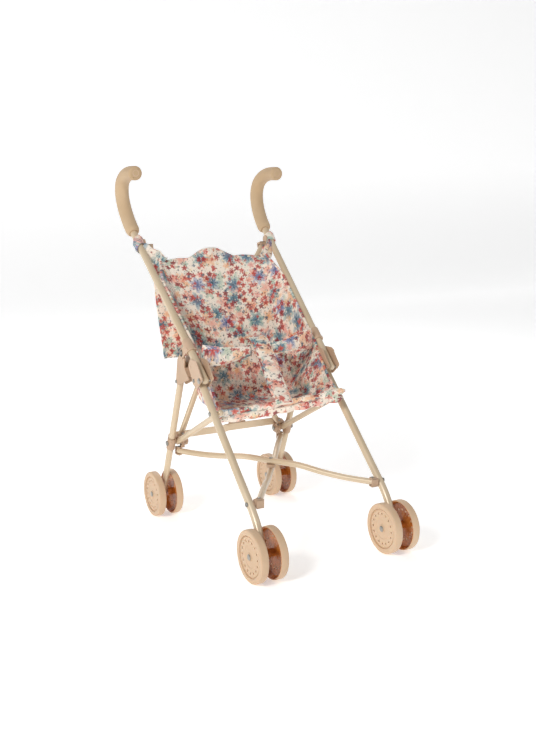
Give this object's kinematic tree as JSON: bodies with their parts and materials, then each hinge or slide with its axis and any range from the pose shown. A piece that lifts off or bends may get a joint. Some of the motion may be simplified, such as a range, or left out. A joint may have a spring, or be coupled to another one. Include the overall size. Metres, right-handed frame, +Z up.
{
  "type": "doll stroller",
  "caption": "Folding doll stroller: bent tube handles with foam grips, splayed legs with small wheels, crossing brace tubes and a sewn sling seat with belts.",
  "frame": {"origin": "middle of the overall box, on the ground", "axes": "+Z up, the stroller faces -Y, +X is its own left-hand side as a sitter faces out"},
  "size_m": [0.2712, 0.4658, 0.5564],
  "materials": {
    "enamel": "gloss",
    "moulded": "satin",
    "wheel_plastic": "satin",
    "foam": "matte",
    "steel": "satin",
    "printed_cloth": "matte"
  },
  "bodies": {
    "frame": {"left_handle_tube": "enamel", "left_grip": "foam", "left_grip_cap": "moulded", "left_sleeve": "moulded", "seat_sling": "printed_cloth", "rear_pocket": "printed_cloth", "crotch_strap": "printed_cloth", "lap_belt_left": "printed_cloth", "lap_belt_right": "printed_cloth"},
    "right_handle": {"right_handle_tube": "enamel", "right_grip": "foam", "right_grip_cap": "moulded", "right_sleeve": "moulded"},
    "left_front_leg_body": {"left_front_leg": "enamel", "left_front_bracket": "moulded", "left_front_axle": "steel"},
    "left_rear_leg_body": {"left_rear_leg": "enamel", "left_rear_bracket": "moulded", "left_rear_axle": "steel", "left_rear_connector": "moulded"},
    "left_link_body": {"left_side_link": "enamel"},
    "left_brace_body": {"left_brace_arm": "enamel"},
    "left_lower_clevis_body": {"left_lower_rear_clevis": "moulded"},
    "lower_cross_tube_over_body": {"lower_cross_tube_over": "enamel", "lower_cross_pivot": "moulded"},
    "right_front_clevis_body": {"right_lower_front_clevis": "moulded"},
    "left_upper_clevis_body": {"left_upper_rear_clevis": "moulded"},
    "rear_cross_tube_back_body": {"rear_cross_tube_back": "enamel"},
    "right_top_clevis_body": {"right_upper_top_clevis": "moulded"},
    "left_front_wheel_inner_body": {"left_front_wheel_inner": "wheel_plastic"},
    "left_front_wheel_outer_body": {"left_front_wheel_outer": "wheel_plastic"},
    "left_rear_wheel_inner_body": {"left_rear_wheel_inner": "wheel_plastic"},
    "left_rear_wheel_outer_body": {"left_rear_wheel_outer": "wheel_plastic"},
    "right_front_leg_body": {"right_front_leg": "enamel", "right_front_bracket": "moulded", "right_front_axle": "steel"},
    "right_rear_leg_body": {"right_rear_leg": "enamel", "right_rear_bracket": "moulded", "right_rear_axle": "steel", "right_rear_connector": "moulded"},
    "right_link_body": {"right_side_link": "enamel"},
    "right_brace_body": {"right_brace_arm": "enamel", "brace_lock_housing": "moulded"},
    "right_lower_clevis_body": {"right_lower_rear_clevis": "moulded"},
    "lower_cross_tube_under_body": {"lower_cross_tube_under": "enamel"},
    "left_front_clevis_body": {"left_lower_front_clevis": "moulded"},
    "right_upper_clevis_body": {"right_upper_rear_clevis": "moulded"},
    "rear_cross_tube_front_body": {"rear_cross_tube_front": "enamel"},
    "left_top_clevis_body": {"left_upper_top_clevis": "moulded"},
    "right_front_wheel_inner_body": {"right_front_wheel_inner": "wheel_plastic"},
    "right_front_wheel_outer_body": {"right_front_wheel_outer": "wheel_plastic"},
    "right_rear_wheel_inner_body": {"right_rear_wheel_inner": "wheel_plastic"},
    "right_rear_wheel_outer_body": {"right_rear_wheel_outer": "wheel_plastic"}
  },
  "joints": [
    {"name": "fold", "type": "hinge", "parent": "frame", "child": "left_front_leg_body", "pos_m": [-0.1054, -0.0374, 0.2453], "axis": [-1, 0, 0], "range_deg": [0, 95]},
    {"name": "left_rear_leg_hinge", "type": "hinge", "parent": "frame", "child": "left_rear_leg_body", "pos_m": [-0.1054, 0.0236, 0.2793], "axis": [-1, 0, 0], "range_deg": [0, 36.88]},
    {"name": "left_link_hinge", "type": "hinge", "parent": "left_rear_leg_body", "child": "left_link_body", "pos_m": [-0.0944, 0.0996, 0.127], "axis": [-1, 0, 0], "range_deg": [0, 3.47]},
    {"name": "left_brace_hinge", "type": "hinge", "parent": "left_rear_leg_body", "child": "left_brace_body", "pos_m": [-0.094, 0.10043, 0.12518], "axis": [0, 0.91, 0.4147], "range_deg": [0, 75.8]},
    {"name": "left_lower_clevis_swivel", "type": "hinge", "parent": "left_rear_leg_body", "child": "left_lower_clevis_body", "pos_m": [-0.092, 0.0996, 0.127], "axis": [-1, 0, 0], "range_deg": [0, 27.73]},
    {"name": "lower_cross_tube_over_hinge", "type": "hinge", "parent": "left_lower_clevis_body", "child": "lower_cross_tube_over_body", "pos_m": [-0.092, 0.1005, 0.11203], "axis": [0, 0.0602, -0.9982], "range_deg": [0, 27.16]},
    {"name": "right_front_clevis_hinge", "type": "hinge", "parent": "lower_cross_tube_over_body", "child": "right_front_clevis_body", "pos_m": [0.092, -0.1654, 0.096], "axis": [0, -0.0602, 0.9982], "range_deg": [0, 27.16]},
    {"name": "left_upper_clevis_swivel", "type": "hinge", "parent": "left_rear_leg_body", "child": "left_upper_clevis_body", "pos_m": [-0.085, 0.0996, 0.127], "axis": [1, 0, 0], "range_deg": [0, 21.14]},
    {"name": "rear_cross_tube_back_hinge", "type": "hinge", "parent": "left_upper_clevis_body", "child": "rear_cross_tube_back_body", "pos_m": [-0.085, 0.10226, 0.1387], "axis": [0, -0.9751, 0.222], "range_deg": [0, 24.96]},
    {"name": "right_top_clevis_hinge", "type": "hinge", "parent": "rear_cross_tube_back_body", "child": "right_top_clevis_body", "pos_m": [0.10297, 0.16762, 0.42579], "axis": [0, 0.9751, -0.222], "range_deg": [0, 24.96]},
    {"name": "left_front_wheel_inner_spin", "type": "hinge", "parent": "left_front_leg_body", "child": "left_front_wheel_inner_body", "pos_m": [-0.09075, -0.1974, 0.036], "axis": [1, 0, 0], "continuous": true},
    {"name": "left_front_wheel_outer_spin", "type": "hinge", "parent": "left_front_leg_body", "child": "left_front_wheel_outer_body", "pos_m": [-0.12005, -0.1974, 0.036], "axis": [1, 0, 0], "continuous": true},
    {"name": "left_rear_wheel_inner_spin", "type": "hinge", "parent": "left_rear_leg_body", "child": "left_rear_wheel_inner_body", "pos_m": [-0.09075, 0.1416, 0.036], "axis": [1, 0, 0], "continuous": true},
    {"name": "left_rear_wheel_outer_spin", "type": "hinge", "parent": "left_rear_leg_body", "child": "left_rear_wheel_outer_body", "pos_m": [-0.12005, 0.1416, 0.036], "axis": [1, 0, 0], "continuous": true},
    {"name": "right_slide", "type": "slide", "parent": "frame", "child": "right_handle", "axis": [-1, 0, 0], "range_m": [0, 0.13689], "deforming": ["seat_sling", "rear_pocket", "crotch_strap", "lap_belt_left", "lap_belt_right"]},
    {"name": "right_front_leg_hinge", "type": "hinge", "parent": "right_handle", "child": "right_front_leg_body", "pos_m": [0.1054, -0.0374, 0.2453], "axis": [-1, 0, 0], "range_deg": [0, 95]},
    {"name": "right_rear_leg_hinge", "type": "hinge", "parent": "right_handle", "child": "right_rear_leg_body", "pos_m": [0.1054, 0.0236, 0.2793], "axis": [-1, 0, 0], "range_deg": [0, 36.88]},
    {"name": "right_link_hinge", "type": "hinge", "parent": "right_rear_leg_body", "child": "right_link_body", "pos_m": [0.0944, 0.0996, 0.127], "axis": [-1, 0, 0], "range_deg": [0, 3.47]},
    {"name": "right_brace_hinge", "type": "hinge", "parent": "right_rear_leg_body", "child": "right_brace_body", "pos_m": [0.094, 0.10043, 0.12518], "axis": [0, -0.91, -0.4147], "range_deg": [0, 75.8]},
    {"name": "right_lower_clevis_swivel", "type": "hinge", "parent": "right_rear_leg_body", "child": "right_lower_clevis_body", "pos_m": [0.092, 0.0996, 0.127], "axis": [-1, 0, 0], "range_deg": [0, 27.73]},
    {"name": "lower_cross_tube_under_hinge", "type": "hinge", "parent": "right_lower_clevis_body", "child": "lower_cross_tube_under_body", "pos_m": [0.092, 0.1005, 0.11203], "axis": [0, -0.0602, 0.9982], "range_deg": [0, 27.16]},
    {"name": "left_front_clevis_hinge", "type": "hinge", "parent": "lower_cross_tube_under_body", "child": "left_front_clevis_body", "pos_m": [-0.092, -0.1654, 0.096], "axis": [0, 0.0602, -0.9982], "range_deg": [0, 27.16]},
    {"name": "right_upper_clevis_swivel", "type": "hinge", "parent": "right_rear_leg_body", "child": "right_upper_clevis_body", "pos_m": [0.085, 0.0996, 0.127], "axis": [1, 0, 0], "range_deg": [0, 21.14]},
    {"name": "rear_cross_tube_front_hinge", "type": "hinge", "parent": "right_upper_clevis_body", "child": "rear_cross_tube_front_body", "pos_m": [0.085, 0.10226, 0.1387], "axis": [0, 0.9751, -0.222], "range_deg": [0, 24.96]},
    {"name": "left_top_clevis_hinge", "type": "hinge", "parent": "rear_cross_tube_front_body", "child": "left_top_clevis_body", "pos_m": [-0.10297, 0.16762, 0.42579], "axis": [0, -0.9751, 0.222], "range_deg": [0, 24.96]},
    {"name": "right_front_wheel_inner_spin", "type": "hinge", "parent": "right_front_leg_body", "child": "right_front_wheel_inner_body", "pos_m": [0.09075, -0.1974, 0.036], "axis": [1, 0, 0], "continuous": true},
    {"name": "right_front_wheel_outer_spin", "type": "hinge", "parent": "right_front_leg_body", "child": "right_front_wheel_outer_body", "pos_m": [0.12005, -0.1974, 0.036], "axis": [1, 0, 0], "continuous": true},
    {"name": "right_rear_wheel_inner_spin", "type": "hinge", "parent": "right_rear_leg_body", "child": "right_rear_wheel_inner_body", "pos_m": [0.09075, 0.1416, 0.036], "axis": [1, 0, 0], "continuous": true},
    {"name": "right_rear_wheel_outer_spin", "type": "hinge", "parent": "right_rear_leg_body", "child": "right_rear_wheel_outer_body", "pos_m": [0.12005, 0.1416, 0.036], "axis": [1, 0, 0], "continuous": true}
  ],
  "couplings": [
    {"joint": "left_rear_leg_hinge", "follows": "fold", "ratio": 0.38819},
    {"joint": "left_link_hinge", "follows": "fold", "ratio": 0.036561},
    {"joint": "left_brace_hinge", "follows": "fold", "ratio": 0.79792},
    {"joint": "left_lower_clevis_swivel", "follows": "fold", "ratio": 0.29193},
    {"joint": "lower_cross_tube_over_hinge", "follows": "fold", "ratio": 0.2859},
    {"joint": "right_front_clevis_hinge", "follows": "fold", "ratio": 0.2859},
    {"joint": "left_upper_clevis_swivel", "follows": "fold", "ratio": 0.22249},
    {"joint": "rear_cross_tube_back_hinge", "follows": "fold", "ratio": 0.26269},
    {"joint": "right_top_clevis_hinge", "follows": "fold", "ratio": 0.26269},
    {"joint": "right_slide", "follows": "fold", "m_per_rad": 0.08256},
    {"joint": "right_front_leg_hinge", "follows": "fold", "ratio": 1},
    {"joint": "right_rear_leg_hinge", "follows": "fold", "ratio": 0.38819},
    {"joint": "right_link_hinge", "follows": "fold", "ratio": 0.036561},
    {"joint": "right_brace_hinge", "follows": "fold", "ratio": 0.79792},
    {"joint": "right_lower_clevis_swivel", "follows": "fold", "ratio": 0.29193},
    {"joint": "lower_cross_tube_under_hinge", "follows": "fold", "ratio": 0.2859},
    {"joint": "left_front_clevis_hinge", "follows": "fold", "ratio": 0.2859},
    {"joint": "right_upper_clevis_swivel", "follows": "fold", "ratio": 0.22249},
    {"joint": "rear_cross_tube_front_hinge", "follows": "fold", "ratio": 0.26269},
    {"joint": "left_top_clevis_hinge", "follows": "fold", "ratio": 0.26269}
  ]
}
